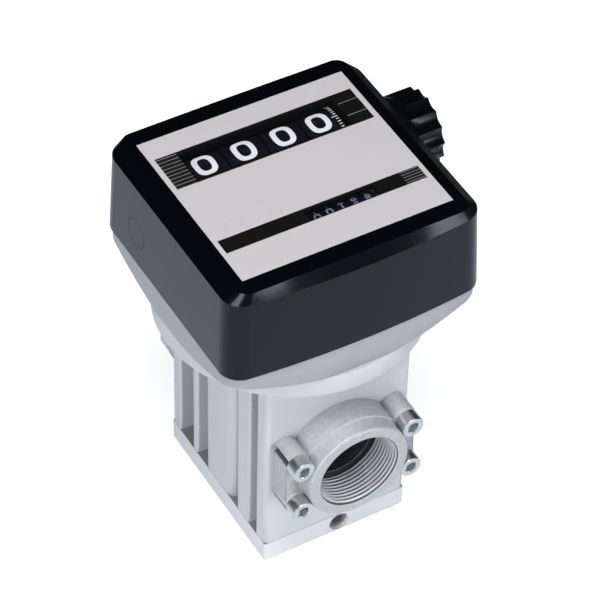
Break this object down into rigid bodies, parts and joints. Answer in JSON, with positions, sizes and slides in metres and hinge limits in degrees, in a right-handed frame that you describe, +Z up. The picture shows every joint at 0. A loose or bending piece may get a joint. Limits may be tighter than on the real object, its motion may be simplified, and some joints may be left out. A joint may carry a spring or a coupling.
{
  "type": "oil flow meter",
  "caption": "Positive-displacement oil flow meter: open-sided body with two threaded ports and a pair of rotor gears, square register on top with a resettable counter, a totaliser and a side knob.",
  "frame": {"origin": "centre of the base plate's underside", "axes": "+Z up, +Y from the front port to the rear port, +X to the side of the reset knob"},
  "size_m": [0.1747, 0.153, 0.2275],
  "materials": {
    "body_paint": "satin light grey coat over cast aluminium",
    "register_base_paint": "satin grey coat",
    "cover_plastic": "smooth black, slightly glossy",
    "knob_plastic": "fine-grained black",
    "dial_face": "silver-grey face with printed black bands",
    "window": "clear",
    "number_wheel": "navy black with white digits",
    "total_wheel": "black with white digits",
    "bright_screw": "bright zinc",
    "inner_steel": "ground steel",
    "gear_metal": "milled",
    "brass_gear": "machined",
    "gear_plastic": "moulded natural",
    "bush_bronze": "sintered bronze",
    "seal_rubber": "black, matt",
    "plug_metal": "dull zinc"
  },
  "bodies": {
    "housing": {"base_plate": "body_paint", "base_screws": "bright_screw", "base_seal": "seal_rubber", "drain_plug": "plug_metal", "meter_body": "body_paint", "chamber_cover": "body_paint", "chamber_cover_screws": "bright_screw", "chamber_cover_seal": "seal_rubber", "front_port_flange": "body_paint", "front_flange_screws": "bright_screw", "front_port_seal": "seal_rubber", "rear_port_flange": "body_paint", "rear_flange_screws": "bright_screw", "rear_port_seal": "seal_rubber", "gear_pin": "inner_steel", "lower_shaft_bush": "bush_bronze", "upper_shaft_bush": "bush_bronze", "lip_seal": "seal_rubber", "register_base": "register_base_paint", "register_base_screws": "bright_screw", "register_cover": "cover_plastic", "register_cover_screws": "bright_screw", "side_plug": "cover_plastic", "dial_plate": "dial_face", "counter_lens": "window", "totaliser_lens": "window", "transfer_shaft": "inner_steel", "idler_pin": "inner_steel", "left_frame_plate": "inner_steel", "mid_frame_plate": "inner_steel", "right_frame_plate": "inner_steel", "frame_screws": "bright_screw"},
    "drive_rotor": {"drive_rotor_gear": "gear_metal", "drive_shaft": "inner_steel", "drive_key": "inner_steel", "drive_pinion": "brass_gear"},
    "driven_rotor": {"driven_rotor_gear": "gear_metal", "gear_bushes": "bush_bronze"},
    "worm": {"worm_shaft": "inner_steel", "worm_shaft_gear": "brass_gear"},
    "units": {"units_wheel": "number_wheel", "worm_wheel": "brass_gear", "counter_gear": "gear_plastic"},
    "tens": {"tens_wheel": "number_wheel"},
    "hundreds": {"hundreds_wheel": "number_wheel"},
    "thousands": {"thousands_wheel": "number_wheel"},
    "transfer_1": {"transfer_pinion_1": "gear_plastic"},
    "transfer_2": {"transfer_pinion_2": "gear_plastic"},
    "transfer_3": {"transfer_pinion_3": "gear_plastic"},
    "idler": {"idler_gear": "gear_plastic"},
    "total_5": {"totaliser_shaft": "inner_steel", "totaliser_gear": "gear_plastic", "totaliser_wheel_5": "total_wheel"},
    "total_4": {"totaliser_wheel_4": "total_wheel"},
    "total_3": {"totaliser_wheel_3": "total_wheel"},
    "total_2": {"totaliser_wheel_2": "total_wheel"},
    "total_1": {"totaliser_wheel_1": "total_wheel"},
    "reset": {"reset_shaft": "inner_steel", "reset_knob": "knob_plastic"}
  },
  "joints": [
    {"name": "drive_spin", "type": "hinge", "parent": "housing", "child": "drive_rotor", "pos_m": [0.0175, 0, 0.0761], "axis": [0, 0, 1], "continuous": true},
    {"name": "driven_spin", "type": "hinge", "parent": "housing", "child": "driven_rotor", "pos_m": [-0.0175, 0, 0.0761], "axis": [0, 0, 1], "continuous": true},
    {"name": "worm_spin", "type": "hinge", "parent": "housing", "child": "worm", "pos_m": [0.0505, 0, 0.176], "axis": [0, 0, 1], "continuous": true},
    {"name": "units_spin", "type": "hinge", "parent": "housing", "child": "units", "pos_m": [0.03465, 0.0314, 0.1924], "axis": [1, 0, 0], "continuous": true},
    {"name": "tens_spin", "type": "hinge", "parent": "housing", "child": "tens", "pos_m": [0.01155, 0.0314, 0.1924], "axis": [1, 0, 0], "continuous": true},
    {"name": "hundreds_spin", "type": "hinge", "parent": "housing", "child": "hundreds", "pos_m": [-0.01155, 0.0314, 0.1924], "axis": [1, 0, 0], "continuous": true},
    {"name": "thousands_spin", "type": "hinge", "parent": "housing", "child": "thousands", "pos_m": [-0.03465, 0.0314, 0.1924], "axis": [1, 0, 0], "continuous": true},
    {"name": "transfer_1_spin", "type": "hinge", "parent": "housing", "child": "transfer_1", "pos_m": [0.0231, 0.05812, 0.16998], "axis": [1, 0, 0], "continuous": true},
    {"name": "transfer_2_spin", "type": "hinge", "parent": "housing", "child": "transfer_2", "pos_m": [0, 0.05812, 0.16998], "axis": [1, 0, 0], "continuous": true},
    {"name": "transfer_3_spin", "type": "hinge", "parent": "housing", "child": "transfer_3", "pos_m": [-0.0231, 0.05812, 0.16998], "axis": [1, 0, 0], "continuous": true},
    {"name": "idler_spin", "type": "hinge", "parent": "housing", "child": "idler", "pos_m": [0.0565, -0.00422, 0.1872], "axis": [1, 0, 0], "continuous": true},
    {"name": "total_5_spin", "type": "hinge", "parent": "housing", "child": "total_5", "pos_m": [0.0269, -0.0287, 0.2136], "axis": [1, 0, 0], "continuous": true},
    {"name": "total_4_spin", "type": "hinge", "parent": "housing", "child": "total_4", "pos_m": [0.01945, -0.0287, 0.2136], "axis": [1, 0, 0], "continuous": true},
    {"name": "total_3_spin", "type": "hinge", "parent": "housing", "child": "total_3", "pos_m": [0.012, -0.0287, 0.2136], "axis": [1, 0, 0], "continuous": true},
    {"name": "total_2_spin", "type": "hinge", "parent": "housing", "child": "total_2", "pos_m": [0.00455, -0.0287, 0.2136], "axis": [1, 0, 0], "continuous": true},
    {"name": "total_1_spin", "type": "hinge", "parent": "housing", "child": "total_1", "pos_m": [-0.0029, -0.0287, 0.2136], "axis": [1, 0, 0], "continuous": true},
    {"name": "reset_turn", "type": "hinge", "parent": "housing", "child": "reset", "pos_m": [0.09, 0.0314, 0.1924], "axis": [1, 0, 0], "continuous": true}
  ],
  "couplings": [
    {"joint": "driven_spin", "follows": "drive_spin", "ratio": -1},
    {"joint": "worm_spin", "follows": "drive_spin", "ratio": -1},
    {"joint": "units_spin", "follows": "drive_spin", "ratio": 0.011364},
    {"joint": "tens_spin", "follows": "drive_spin", "ratio": 0.0011364},
    {"joint": "hundreds_spin", "follows": "drive_spin", "ratio": 0.00011364},
    {"joint": "thousands_spin", "follows": "drive_spin", "ratio": 0.000011364},
    {"joint": "transfer_1_spin", "follows": "drive_spin", "ratio": -0.0028409},
    {"joint": "transfer_2_spin", "follows": "drive_spin", "ratio": -0.00028409},
    {"joint": "transfer_3_spin", "follows": "drive_spin", "ratio": -0.000028409},
    {"joint": "idler_spin", "follows": "drive_spin", "ratio": -0.0037879},
    {"joint": "total_5_spin", "follows": "drive_spin", "ratio": 0.011364},
    {"joint": "total_4_spin", "follows": "drive_spin", "ratio": 0.0011364},
    {"joint": "total_3_spin", "follows": "drive_spin", "ratio": 0.00011364},
    {"joint": "total_2_spin", "follows": "drive_spin", "ratio": 0.000011364},
    {"joint": "total_1_spin", "follows": "drive_spin", "ratio": 0.0000011364}
  ]
}
